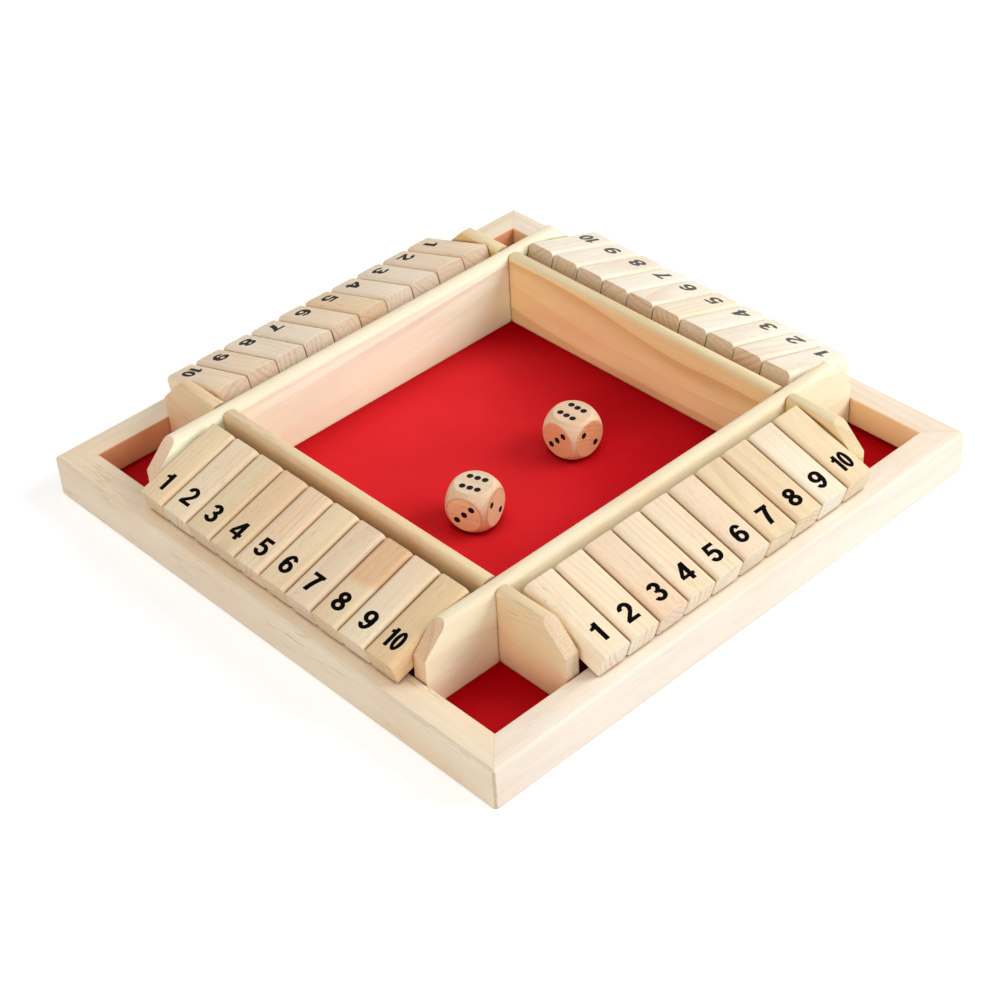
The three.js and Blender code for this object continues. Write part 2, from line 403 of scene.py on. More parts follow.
def growth_rings(shader, place, wander, pitch, swell):
    """Late wood, from 0 to 1, in wavy rings round a pith that lies along the grain."""
    along, side, up = shader.split(place)
    across = shader.math("SQRT", shader.math(
        "ADD", shader.math("POWER", side, 2.0), shader.math("POWER", up, 2.0)))
    radius = shader.math("ADD", across, shader.swing(wander, 2 * swell))
    radius = shader.math("ADD", radius, shader.math("MULTIPLY", along, PITH_SLOPE))
    radius = shader.math("DIVIDE", radius, shader.own("ring_scale"))
    ring = shader.math("FRACT", shader.math("DIVIDE", radius, pitch))
    late = shader.math(
        "MULTIPLY", shader.band(ring, *RING_DARKENS), shader.band(ring, *RING_ENDS))
    spread = shader.add("ShaderNodeCombineXYZ", {0: radius}).outputs[0]
    year = shader.noise(spread, YEARS_PER_PITCH / pitch, detail=1)
    return shader.math("MULTIPLY", late, shader.band(year, *YEAR_STRENGTH))


def fleck_marks(shader, place, length):
    """Short dashes along the grain, which come in crowds."""
    dash = shader.noise(stretched(shader, place, *(cells / length for cells in DASH)), detail=1)
    crowd = shader.noise(stretched(shader, shader.vector("ADD", place, CROWD_SHIFT), *CROWD), detail=1)
    marks = shader.math(
        "MULTIPLY", shader.band(dash, *DASH_SHOWS), shader.band(crowd, *CROWD_SHOWS))
    return shader.math("MULTIPLY", marks, shader.own("flecked"))


def edge_wear(shader, tint):
    """What handling has taken from the brightness of the edges, uneven like the tint."""
    rounded = shader.add("ShaderNodeBevel", {"Radius": WEAR_REACH}, samples=4).outputs[0]
    flat = shader.add("ShaderNodeNewGeometry").outputs["Normal"]
    edge = shader.band(shader.vector("DOT_PRODUCT", rounded, flat), *EDGE_BENDS)
    worn = shader.math("MULTIPLY", edge, shader.band(tint, *WEAR_BY_TINT))
    return shader.math("MULTIPLY", worn, shader.own("wear"))


def own_tones(shader, colour, wander, end_grain):
    """colour, multiplied on each part of a board by the tone that the board holds for it."""
    spot = shader.place()
    outness = shader.vector("DOT_PRODUCT", spot, shader.facing())
    inward = shader.band(outness, *FACES_IN)
    outward = shader.band(outness, *FACES_OUT)
    along, height = shader.split(spot)[1:]
    upright = shader.math("ADD", inward, outward)
    foot = shader.math("MULTIPLY", upright, shader.band(height, *FOOT_HEIGHTS))
    ragged = shader.math("ADD", along, shader.swing(wander, HEART_SWING))
    # Apart from heart_tone, which is heart wood, these tones are mostly painted light and shade: lit and
    # shaded faces, lighter feet where shade falls low, and red reflected from the felt
    shares = {
        "inner_tone": inward,
        "foot_tone": foot,
        "outer_tone": outward,
        "end_tone": end_grain,
        "heart_tone": shader.band(ragged, *HEART_PLACES),
    }
    colour = shader.vector("MULTIPLY", colour, shader.own("tone", "Vector"))
    for name, share in shares.items():
        tone = shader.mix(share, (1, 1, 1, 1), shader.own(name, "Vector"))
        colour = shader.vector("MULTIPLY", colour, tone)
    return colour


def wood_look(shader, light, dark, blush, pitch, rings, swell, fibres=0.08, flecks=0.5,
              fleck_length=6 * MM, roughness=0.58, sawn=(0.55, 0.97)):
    """Planed wood's colour, roughness and normal. pitch is from ring to ring, and swell is how
    far a ring wanders. rings, fibres and flecks say how strong each shows. sawn says how much
    a face has to look along the grain, from 0 to 1, to start to show end grain and in full."""
    place = grain_space(shader)
    wander = shader.noise(stretched(shader, place, *WANDER), detail=1.5)
    late = growth_rings(shader, place, wander, pitch, swell)
    fibre = shader.noise(stretched(shader, place, *FIBRE), detail=3, rough=0.6)
    thread = shader.noise(stretched(shader, place, *THREAD), detail=2)
    cloud = shader.noise(stretched(shader, place, *CLOUD), detail=3)
    tint = shader.noise(stretched(shader, shader.vector("ADD", place, TINT_SHIFT), *TINT), detail=2)
    marks = fleck_marks(shader, place, fleck_length)
    looks_along = shader.split(turned_to_grain(shader, shader.facing()))[0]
    end_grain = shader.band(shader.math("ABSOLUTE", looks_along), *sawn)

    figure = shader.math("MULTIPLY", shader.math("MULTIPLY", late, rings), shader.own("figure"))
    colour = shader.mix(figure, light, dark)
    blushed = shader.math("MULTIPLY", shader.band(tint, *BLUSH_BY_TINT), shader.own("blushed"))
    colour = shader.tinted(blushed, colour, blush)
    colour = shader.tinted(shader.math("MULTIPLY", marks, FLECK_SHADE * flecks), colour, FLECK)
    ends = shader.mix(shader.band(late, *DARK_ENDS), colour, dark)
    colour = shader.mix(shader.math("MULTIPLY", end_grain, END_SHADE), colour, ends)

    shade = shader.swing(fibre, FIBRE_SHADE * fibres)
    shade = shader.math("ADD", shade, shader.swing(thread, THREAD_SHADE * fibres))
    shade = shader.math("ADD", shade, shader.swing(cloud, CLOUD_SHADE))
    speck = shader.noise(place, SPECK, detail=2, rough=0.7)
    specks = shader.math("MULTIPLY", end_grain, shader.band(speck, *END_SPECKS))
    shade = shader.math("SUBTRACT", shade, specks)
    bright = shader.math("ADD", shader.math("SUBTRACT", 1.0, edge_wear(shader, tint)), shade)
    colour = own_tones(shader, shader.scale(colour, bright), wander, end_grain)
    # Painted shade: darker brown wherever other surfaces close in, in seams, gaps and joints
    seam_shade = shader.band(shader.open_air(SEAM_REACH, samples=6), *SEAM_SHADE_SHOWS)
    colour = shader.tinted(seam_shade, colour, SEAM_SHADE_TINT)

    raised = shader.summed((fibre, FIBRE_HEIGHT), (thread, THREAD_HEIGHT))
    sunk = shader.summed((marks, FLECK_DEPTH), (late, -LATE_HEIGHT))
    normal = shader.bump(shader.math("SUBTRACT", raised, sunk), *WOOD_BUMP)
    rough = shader.math("ADD", roughness, shader.swing(fibre, FIBRE_ROUGHNESS))
    return colour, rough, normal


def wood(name, *colours, **look):
    """A material of planed wood, from its light, dark and blush colours."""
    shader = material_shader(name)
    colour, rough, normal = wood_look(shader, *colours, **look)
    return shader.surface(Base_Color=colour, Roughness=rough, Normal=normal, Specular_IOR_Level=0.3)


def die_finish():
    """Tumbled wood, with a tone of each die's own on the planed flats of its sides, partly their own
    colour and partly painted shade and red reflected from the felt, and black paint in the pips.
    """
    shader = material_shader("die_wood")
    body, rough, normal = wood_look(
        shader, *DIE_COLOURS, pitch=1.7 * MM, rings=0.22, swell=3 * MM, fibres=0.07, flecks=0.5,
        roughness=0.42,
    )
    # Upright flats take each die's inner_tone, partly painted shade and red reflected from the felt; level
    # flats keep the pale top tint
    level = shader.band(shader.math("ABSOLUTE", shader.split(shader.facing())[2]), *DIE_LEVEL)
    planed = shader.mix(level, shader.own("inner_tone", "Vector"), DIE_TOP)
    flat = shader.of_mesh("flat_share")
    colour = shader.tinted(flat, body, planed)
    rim = shader.math(
        "MULTIPLY", shader.math("PINGPONG", flat, 0.5), shader.band(level, *DIE_RING_SHOWS))
    colour = shader.mix(rim, colour, shader.mix(1.0, body, DIE_RING_TINT, "MULTIPLY"))
    ragged = shader.swing(shader.noise(shader.place(), PAINT_EDGE, detail=2), PAINT_RAGGED)
    away = shader.math("ADD", shader.of_mesh("pip_distance"), ragged)
    paint = shader.band(away, PIP_WIDTH / 2 + PAINT_SPILL, PIP_WIDTH / 2 - PAINT_THIN)
    return shader.surface(
        Base_Color=shader.mix(paint, colour, PIP_PAINT),
        Roughness=shader.add("ShaderNodeMix", {0: paint, 2: rough, 3: 0.5}).outputs[0],
        Normal=normal,
        Specular_IOR_Level=0.15,
    )


def felt_cloth():
    """Smooth pressed felt, with short fibres lying every way, and painted shade: deeper red in corners and
    to the back, where its sheen is weaker too."""
    shader = material_shader("red_felt")
    place = shader.place()
    nap = shader.noise(place, NAP, detail=3, rough=0.65)
    curl = shader.noise(shader.vector("MULTIPLY", place, NAP_CURL), detail=2)
    patch = shader.noise(place, FELT_PATCH, detail=3)
    shade = shader.summed((nap, NAP_SHADE), (curl, CURL_SHADE), (patch, PATCH_SHADE))
    colour = shader.mix(shader.band(shade, *FELT_PALES), *FELT_COLOURS)
    # Painted shade: deeper red near walls and in corners, and darker with less sheen toward the back
    lit = shader.band(shader.open_air(FELT_SHADE_REACH, samples=8), *FELT_OPENS)
    colour = shader.mix(lit, FELT_SHADED, colour)
    near = shader.band(shader.vector("DOT_PRODUCT", place, FELT_TO_BACK), *FELT_NEAR_PLACES)
    bright, sheen = (
        shader.math("ADD", start, shader.math("MULTIPLY", near, rise))
        for start, rise in (FELT_BRIGHT, FELT_SHEEN))
    colour = shader.scale(colour, bright)
    height = shader.math("ADD", nap, shader.math("MULTIPLY", curl, CURL_HEIGHT))
    return shader.surface(
        Base_Color=colour,
        Roughness=shader.band(nap, *FELT_ROUGHNESS),
        Normal=shader.bump(height, *FELT_BUMP),
        Specular_IOR_Level=0.0,
        Sheen_Weight=shader.math("MULTIPLY", lit, sheen),
        Sheen_Roughness=0.6,
    )


def steel():
    """Drawn steel rod, with fine lines along it."""
    shader = material_shader("drawn_steel")
    place = grain_space(shader)
    lines = shader.noise(stretched(shader, place, *STEEL_LINES), detail=3)
    stain = shader.noise(place, STEEL_STAIN, detail=3)
    return shader.surface(
        Base_Color=shader.mix(shader.band(stain, *STEEL_STAINS), *STEEL_COLOURS),
        Metallic=1.0,
        Roughness=shader.band(lines, *STEEL_ROUGHNESS),
        Normal=shader.bump(lines, *STEEL_BUMP),
    )


def ink():
    """Black printed on wood, with a little of the grain in it, and paler on some rows by a painted glare.
    """
    shader = material_shader("black_print")
    fine = shader.noise(shader.vector("MULTIPLY", shader.place(), INK_GRAIN), detail=2)
    black = shader.mix(shader.band(fine, *INK_THINS), *INK_COLOURS)
    return shader.surface(
        Base_Color=shader.mix(shader.own("glare_share"), black, INK_GLARE_GREY),
        Roughness=shader.band(fine, *INK_ROUGHNESS),
        Normal=shader.bump(fine, *INK_BUMP),
        Specular_IOR_Level=0.03,
    )


def floor_white():
    """A white floor that goes on into the white background, and keeps the object's shadow."""
    shader = material_shader("white_floor")
    matte = shader.add("ShaderNodeBsdfDiffuse", {"Color": FLOOR_WHITE})
    glow = shader.math("MULTIPLY", shader.seen(), FLOOR_GLOW)
    light = shader.add("ShaderNodeEmission", {"Strength": glow})
    both = shader.add("ShaderNodeAddShader", {0: matte.outputs[0], 1: light.outputs[0]})
    return shader.to_output(both)


def white_world():
    """White to the camera and in reflections, and a soft sky to everything else."""
    shader = Shader(bpy.data.worlds.new("studio"))
    strength = shader.band(shader.seen(), 0.0, 1.0, SKY, 1.0)
    sky = shader.add("ShaderNodeBackground", {"Color": (1, 1, 1, 1), "Strength": strength})
    bpy.context.scene.world = shader.to_output(sky, "ShaderNodeOutputWorld")


def smooth_modifier(limit):
    """A node group that shades faces smooth, apart from edges sharper than the limit."""
    group = bpy.data.node_groups.new("smooth_by_angle", "GeometryNodeTree")
    group.interface.new_socket("Geometry", in_out="INPUT", socket_type="NodeSocketGeometry")
    group.interface.new_socket("Geometry", in_out="OUTPUT", socket_type="NodeSocketGeometry")
    start = group.nodes.new("NodeGroupInput")
    faces = group.nodes.new("GeometryNodeSetShadeSmooth")
    edges = group.nodes.new("GeometryNodeSetShadeSmooth")
    edges.domain = "EDGE"
    edges.inputs["Shade Smooth"].default_value = False
    angle = group.nodes.new("GeometryNodeInputMeshEdgeAngle")
    sharper = group.nodes.new("FunctionNodeCompare")
    sharper.inputs[1].default_value = limit
    end = group.nodes.new("NodeGroupOutput")
    group.links.new(start.outputs[0], faces.inputs[0])
    group.links.new(angle.outputs[0], sharper.inputs[0])
    group.links.new(faces.outputs[0], edges.inputs[0])
    group.links.new(sharper.outputs[0], edges.inputs["Selection"])
    group.links.new(edges.outputs[0], end.inputs[0])
    return group


SMOOTH = smooth_modifier(SHARP_ANGLE)


def soften(obj, width):
    """Rounds a CAD node's sharp edges by width and shades its round faces smooth."""
    weld = obj.modifiers.new("weld", "WELD")
    weld.merge_threshold = WELD_REACH
    if width:
        bevel = obj.modifiers.new("ease", "BEVEL")
        bevel.width = width
        bevel.segments = EASE_SEGMENTS
        bevel.limit_method = "ANGLE"
        bevel.angle_limit = EASED_ANGLE
    obj.modifiers.new("smooth", "NODES").node_group = SMOOTH


def finish(obj, material, seed, turn=0.0, pith=None, **values):
    """Gives an object its material and the values that its wood reads. turn is its grain's
    angle from the x axis. pith says how far off and which way the middle of its rings is."""
    chance = random.Random(seed)
    obj["grain_turn"] = -turn
    away, angle = chance.uniform(*PITH_AWAY), chance.uniform(0, 2 * math.pi)
    if pith:
        away, angle = pith
    obj["seed_place"] = [chance.uniform(-1, 1), away * math.cos(angle), away * math.sin(angle)]
    for name in ("tone", "inner_tone", "foot_tone", "outer_tone", "end_tone", "heart_tone"):
        obj[name] = list(values.get(name, NO_TONE))
    for name in ("figure", "ring_scale", "flecked", "blushed", "wear"):
        obj[name] = values.get(name, 1.0)
    if not obj.material_slots:
        obj.data.materials.append(material)
    for slot in obj.material_slots:
        slot.material = material


def new_object(name, data):
    obj = bpy.data.objects.new(name, data)
    bpy.context.scene.collection.objects.link(obj)
    return obj


def mesh_of(name, build):
    """A mesh filled by build, which gets an empty bmesh."""
    made = bmesh.new()
    build(made)
    mesh = bpy.data.meshes.new(name)
    made.to_mesh(mesh)
    made.free()
    return mesh


def rounded_section(width, height, rounding):
    """Points round a rectangle with round corners, anticlockwise."""
    points = []
    for i, (sx, sy) in enumerate(((1, 1), (-1, 1), (-1, -1), (1, -1))):
        middle = Vector((sx * (width / 2 - rounding), sy * (height / 2 - rounding)))
        for k in range(ROUND_STEPS + 1):
            angle = math.pi / 2 * (i + k / ROUND_STEPS)
            points.append(middle + rounding * Vector((math.cos(angle), math.sin(angle))))
    return points


def flap_mesh():
    """One flap with its rod's axis at the origin, its inner end at +y, and eased ends."""
    def build(made):
        loops = []
        ends = []
        for k in range(EASE_STEPS + 1):
            angle = math.pi / 2 * k / EASE_STEPS
            ends.append((FLAP_EASE * (1 - math.sin(angle)), FLAP_EASE * (1 - math.cos(angle))))
        stations = [(FLAP_HEEL - back, inset) for inset, back in ends]
        stations += [(back - FLAP_REACH, inset) for inset, back in reversed(ends)]
        for y, inset in stations:
            section = rounded_section(
                FLAP_WIDTH - 2 * inset, FLAP_THICKNESS - 2 * inset, FLAP_ROUND - inset)
            loops.append([made.verts.new((p.x, y, p.y)) for p in section])
        for one, other in zip(loops, loops[1:]):
            for i in range(len(one)):
                j = (i + 1) % len(one)
                made.faces.new((one[i], one[j], other[j], other[i]))
        made.faces.new(list(reversed(loops[0])))
        made.faces.new(loops[-1])
        bmesh.ops.recalc_face_normals(made, faces=made.faces)

    def cutter(made):
        turn = Matrix.Rotation(math.pi / 2, 4, "Y")
        bmesh.ops.create_cone(
            made, cap_ends=True, segments=BORE_STEPS, radius1=BORE_WIDTH / 2, radius2=BORE_WIDTH / 2,
            depth=2 * FLAP_WIDTH, matrix=turn)

    body = new_object("flap_blank", mesh_of("flap_blank", build))
    drill = new_object("flap_drill", mesh_of("flap_drill", cutter))
    cut = body.modifiers.new("bore", "BOOLEAN")
    cut.object = drill
    cut.solver = "EXACT"
    body.modifiers.new("smooth", "NODES").node_group = SMOOTH
    depsgraph = bpy.context.evaluated_depsgraph_get()
    mesh = bpy.data.meshes.new_from_object(body.evaluated_get(depsgraph))
    mesh.name = "flap"
    for helper in (body, drill):
        bpy.data.objects.remove(helper)
    return mesh


# Numbers, one unit high: stems are thicker than bars, and ten is drawn narrower. The six
# stands in a box of this width, and turned half round in it is the nine. The seven's stem
# has its half width in stems. Arcs have a point every so many degrees.
STEM = 0.24
BAR = 0.18
DIGIT_STRETCH = 1.06
TEN_STEM = 0.205
TEN_STRETCH = 0.78
DIGIT_GAP = 0.06
SIX_WIDTH = 0.75
SEVEN_HALF_STEM = 0.55
ARC_STEP = 9
SWEEP_STEPS = 12
SAME_POINT = 1e-6


def digit_strokes(digit, wide, stem):
    """The strokes of a digit that stands on a line, as closed outlines that overlap."""
    def shape(*points):
        return [(x * wide, y) for x, y in points]

    def block(left, low, right, high):
        return shape((left, low), (right, low), (right, high), (left, high))

    def post(right, low, high):
        return block(right - stem / wide, low, right, high)

    def bowl(x, y, half_width, half_height, start, stop):
        steps = max(3, round(abs(stop - start) / ARC_STEP))
        angles = [math.radians(start + (stop - start) * k / steps) for k in range(steps + 1)]
        across = half_width - stem / wide
        outer = [(x + half_width * math.cos(a), y + half_height * math.sin(a)) for a in angles]
        inner = [(x + across * math.cos(a), y + (half_height - BAR) * math.sin(a)) for a in angles]
        return shape(*outer, *inner[::-1])

    def ring(x, y, half_width, half_height):
        return [bowl(x, y, half_width, half_height, a, a + 120) for a in (0, 120, 240)]

    def sweep(*points):
        (x0, y0), (x1, y1), (x2, y2) = points
        path = []
        for k in range(SWEEP_STEPS + 1):
            t = k / SWEEP_STEPS
            path.append((
                (1 - t) ** 2 * x0 + 2 * t * (1 - t) * x1 + t ** 2 * x2,
                (1 - t) ** 2 * y0 + 2 * t * (1 - t) * y1 + t ** 2 * y2,
            ))
        half = SEVEN_HALF_STEM * stem / wide
        return shape(*[(x - half, y) for x, y in path], *[(x + half, y) for x, y in reversed(path)])

    six = ring(0.37, 0.322, 0.34, 0.322) + [
        bowl(0.41, 0.5, 0.38, 0.5, 78, 216),
        bowl(0.375, 0.70, 0.31, 0.30, 12, 100),
    ]
    return {
        "0": ring(0.37, 0.5, 0.34, 0.5),
        "1": [post(0.48, 0, 0.99),
              shape((0.06, 0.67), (0.29, 0.69), (0.29, 0.99), (0.31, 0.99), (0.24, 0.88), (0.17, 0.84),
                    (0.06, 0.82))],
        "2": [bowl(0.365, 0.68, 0.33, 0.32, -28, 178),
              shape((0.03, 0.0), (0.03, 0.10), (0.10, 0.23), (0.31, 0.42), (0.42, 0.53), (0.455, 0.62),
                    (0.66, 0.55), (0.58, 0.42), (0.44, 0.29), (0.32, 0.165), (0.32, 0.0)),
              block(0.03, 0, 0.70, BAR)],
        "3": [bowl(0.355, 0.725, 0.31, 0.275, -88, 168), bowl(0.36, 0.295, 0.34, 0.295, -170, 88),
              block(0.26, 0.45, 0.40, 0.59)],
        "4": [post(0.63, 0, 0.985), block(0.02, 0.19, 0.73, 0.35),
              shape((0.02, 0.19), (0.02, 0.37), (0.41, 0.985), (0.50, 0.985), (0.50, 0.74), (0.21, 0.335),
                    (0.21, 0.19))],
        "5": [block(0.12, 0.985 - BAR, 0.66, 0.985),
              shape((0.115, 0.985), (0.31, 0.985), (0.26, 0.56), (0.26, 0.48), (0.05, 0.45)),
              bowl(0.36, 0.33, 0.345, 0.33, -168, 128)],
        "6": six,
        "7": [block(0.04, 0.985 - BAR, 0.70, 0.985), sweep((0.57, 0.90), (0.33, 0.52), (0.26, 0.0))],
        "8": ring(0.36, 0.735, 0.31, 0.265) + ring(0.36, 0.288, 0.345, 0.288),
        "9": [[(SIX_WIDTH * wide - x, 1 - y) for x, y in stroke] for stroke in six],
    }[digit]


def number_strokes(number):
    """The strokes of a number about its middle, one unit high."""
    wide, stem = (TEN_STRETCH, TEN_STEM) if number == 10 else (DIGIT_STRETCH, STEM)
    strokes = []
    left = 0.0
    for digit in str(number):
        drawn = digit_strokes(digit, wide, stem)
        across = [x for stroke in drawn for x, y in stroke]
        strokes += [[(left + x - min(across), y) for x, y in stroke] for stroke in drawn]
        left += max(across) - min(across) + DIGIT_GAP
    middle = (left - DIGIT_GAP) / 2
    return [[(x - middle, y - 0.5) for x, y in stroke] for stroke in strokes]


def number_mesh(number):
    """A number as a thin plate of ink, its strokes joined into one outline."""
    points = []
    loops = []
    for stroke in number_strokes(number):
        area = sum(a[0] * b[1] - b[0] * a[1] for a, b in zip(stroke, stroke[1:] + stroke[:1]))
        ordered = stroke if area > 0 else stroke[::-1]
        loops.append(list(range(len(points), len(points) + len(ordered))))
        points += [Vector(p) for p in ordered]
    found = delaunay_2d_cdt(points, [], loops, 1, SAME_POINT)
    places, faces, sources = found[0], found[2], found[5]

    def build(made):
        verts = [made.verts.new((p.x * NUMBER_HEIGHT, p.y * NUMBER_HEIGHT, -INK_SINK)) for p in places]
        kept = [made.faces.new([verts[i] for i in face]) for face, source in zip(faces, sources) if source]
        bmesh.ops.delete(made, geom=[v for v in verts if not v.link_faces], context="VERTS")
        for face in kept:
            if face.normal.z < 0:
                face.normal_flip()
        raised = bmesh.ops.extrude_face_region(made, geom=kept)["geom"]
        tops = [v for v in raised if isinstance(v, bmesh.types.BMVert)]
        bmesh.ops.translate(made, verts=tops, vec=(0, 0, INK_SINK + INK_THICKNESS))
        bmesh.ops.recalc_face_normals(made, faces=made.faces)

    return mesh_of(f"number_{number}", build)


def pip_places(number):
    """Where the pips of a number lie, in pitches from the middle of its face."""
    one = [(0, 0)]
    slant = [(-1, -1), (1, 1)]
    other = [(-1, 1), (1, -1)]
    return {
        1: one, 2: slant, 3: one + slant, 4: slant + other, 5: one + slant + other,
        6: [(a, b) for a in (-1, 0, 1) for b in (-1, 1)],
    }[number]


# Each face's number, the way that it looks, and the directions of its pips' rows
DIE_FACES = [
    (6, (0, 0, 1), (1, 0, 0), (0, 1, 0)),
    (1, (0, 0, -1), (1, 0, 0), (0, -1, 0)),
    (3, (0, -1, 0), (1, 0, 0), (0, 0, 1)),
    (4, (0, 1, 0), (1, 0, 0), (0, 0, -1)),
    (2, (1, 0, 0), (0, 0, -1), (0, 1, 0)),
    (5, (-1, 0, 0), (0, 0, 1), (0, 1, 0)),
]


def die_mesh():
    """A cube rounded by a ball, with a dished pip wherever paint goes."""
    half = DIE_SIZE / 2
    ball = math.hypot(DIE_SIZE, DIE_FLAT) / 2

    def build(made):
        layer = made.verts.layers.float.new("pip_distance")
        circle = made.verts.layers.float.new("flat_share")
        for number, *axes in DIE_FACES:
            out, one, two = (Vector(axis) for axis in axes)
            pips = [Vector(p) * PIP_PITCH for p in pip_places(number)]
            grid = []
            for i in range(DIE_STEPS + 1):
                row = []
                for j in range(DIE_STEPS + 1):
                    a = math.tan(math.pi / 4 * (2 * i / DIE_STEPS - 1))
                    b = math.tan(math.pi / 4 * (2 * j / DIE_STEPS - 1))
                    direction = (out + one * a + two * b).normalized()
                    cube = half / max(abs(v) for v in direction)
                    gap = max(0.0, 1 - abs(cube - ball) / DIE_RIM)
                    reach = min(cube, ball) - gap * gap * DIE_RIM / 4
                    point = direction * reach
                    flat = Vector((point.dot(one), point.dot(two)))
                    near = min((flat - pip).length for pip in pips)
                    share = near / (PIP_WIDTH / 2)
                    if share < 1:
                        point -= out * PIP_DEPTH * (1 - share * share)
                    vert = made.verts.new(point)
                    vert[layer] = near
                    vert[circle] = min(max((ball - cube) / DIE_RING + 0.5, 0), 1)
                    row.append(vert)
                grid.append(row)
            for i in range(DIE_STEPS):
                for j in range(DIE_STEPS):
                    made.faces.new((grid[i][j], grid[i + 1][j], grid[i + 1][j + 1], grid[i][j + 1]))
        bmesh.ops.remove_doubles(made, verts=made.verts, dist=DIE_WELD)
        bmesh.ops.recalc_face_normals(made, faces=made.faces)
        for face in made.faces:
            face.smooth = True

    return mesh_of("die", build)


def felt_mesh(low, high):
    """A closed sheet between two corners, a little uneven on top."""
    chance = random.Random(FELT_SEED)

    def build(made):
        def layer(z, uneven):
            rows = []
            for i in range(FELT_STEPS + 1):
                row = []
                for j in range(FELT_STEPS + 1):
                    x = low.x + (high.x - low.x) * i / FELT_STEPS
                    y = low.y + (high.y - low.y) * j / FELT_STEPS
                    row.append(made.verts.new((x, y, z - uneven * chance.random())))
                rows.append(row)
            return rows

        top = layer(high.z, FELT_UNEVEN)
        bottom = layer(low.z, 0)
        for i in range(FELT_STEPS):
            for j in range(FELT_STEPS):
                made.faces.new((top[i][j], top[i + 1][j], top[i + 1][j + 1], top[i][j + 1]))
                made.faces.new((bottom[i][j], bottom[i][j + 1], bottom[i + 1][j + 1], bottom[i + 1][j]))
        last = FELT_STEPS
        rim = [(i, 0) for i in range(last)] + [(last, j) for j in range(last)]
        rim += [(i, last) for i in range(last, 0, -1)] + [(0, j) for j in range(last, 0, -1)]
        for one, other in zip(rim, rim[1:] + rim[:1]):
            made.faces.new((
                top[one[0]][one[1]], bottom[one[0]][one[1]],
                bottom[other[0]][other[1]], top[other[0]][other[1]]))
        bmesh.ops.recalc_face_normals(made, faces=made.faces)
        for face in made.faces:
            face.smooth = abs(face.normal.z) > 0.5

    return mesh_of("felt_sheet", build)


def place_camera():
    azimuth, elevation = CAMERA_AZIMUTH, CAMERA_ELEVATION
    back = Vector((
        math.sin(azimuth) * math.cos(elevation),
        -math.cos(azimuth) * math.cos(elevation),
        math.sin(elevation),
    ))
    right = (-back).cross(Vector((0, 0, 1))).normalized()
    up = right.cross(-back)
    turn = Matrix.Rotation(CAMERA_ROLL, 4, back)
    right, up = turn @ right, turn @ up
    data = bpy.data.cameras.new("camera")
    data.lens = LENS
    data.sensor_width = SENSOR
    camera = new_object("camera", data)
    place = CAMERA_TARGET + back * CAMERA_AWAY
    camera.matrix_world = Matrix((
        (right.x, up.x, back.x, place.x),
        (right.y, up.y, back.y, place.y),
        (right.z, up.z, back.z, place.z),
        (0, 0, 0, 1),
    ))
    bpy.context.scene.camera = camera


def area_light(name, toward, power):
    """A square lamp in direction toward, seen from the game, that shines on it."""
    data = bpy.data.lights.new(name, "AREA")
    data.shape = "SQUARE"
    data.size = LAMP_SIZE
    data.energy = power
    data.color = LAMP_COLOUR
    lamp = new_object(name, data)
    direction = Vector(toward).normalized()
    lamp.location = direction * LAMP_AWAY
    lamp.rotation_euler = direction.to_track_quat("Z", "Y").to_euler()


# Tones, as what they leave of red, green and blue
NO_TONE = (1.0, 1.0, 1.0)
TONES = {
    "milk": (1.06, 1.16, 1.32),
    "ivory": (1.06, 1.1, 1.15),
    "pearl": (1.11, 1.12, 1.18),
    "wheat": (1.1, 1.05, 1.04),
    "cream": (1.03, 1.02, 1.0),
    "straw": (1.0, 0.96, 0.86),
    "sand": (1.06, 0.96, 0.84),
    "tan": (0.95, 0.9, 0.8),
    "rose": (0.98, 0.92, 0.9),
    "amber": (0.94, 0.83, 0.66),
}

# The tones of each row's ten flaps and of their sawn ends, the one flap whose inner half has darker heart
# wood, and how much a painted glare greys each row's numbers
# The back row's milk tones are a painted highlight on its tops
FLAP_TONES = {
    "front": ["straw", "cream", "tan", "tan", "cream", "straw", "rose", "straw", "cream", "amber"],
    "right": ["cream", "cream", "rose", "cream", "cream", "rose", "tan", "tan", "ivory", "straw"],
    "back": ["milk", "milk", "milk", "milk", "ivory", "milk", "milk", "milk", "milk", "milk"],
    "left": ["wheat", "wheat", "pearl", "pearl", "sand", "wheat", "pearl", "pearl", "wheat", "wheat"],
}
# Each row's end tone is painted light and shade on its sawn ends, lighter on the right row and darker on
# the back row
FLAP_END_TONES = {
    "front": (0.94, 0.94, 0.98),
    "right": (1.08, 1.2, 1.38),
    "back": (0.94, 0.82, 0.7),
    "left": (0.86, 0.86, 0.9),
}
FLAP_HEART_TONES = {"flap_front_8": (0.93, 0.75, 0.66)}
INK_GLARE = {"front": 0.0, "right": 0.0, "back": 1.0, "left": 0.25}
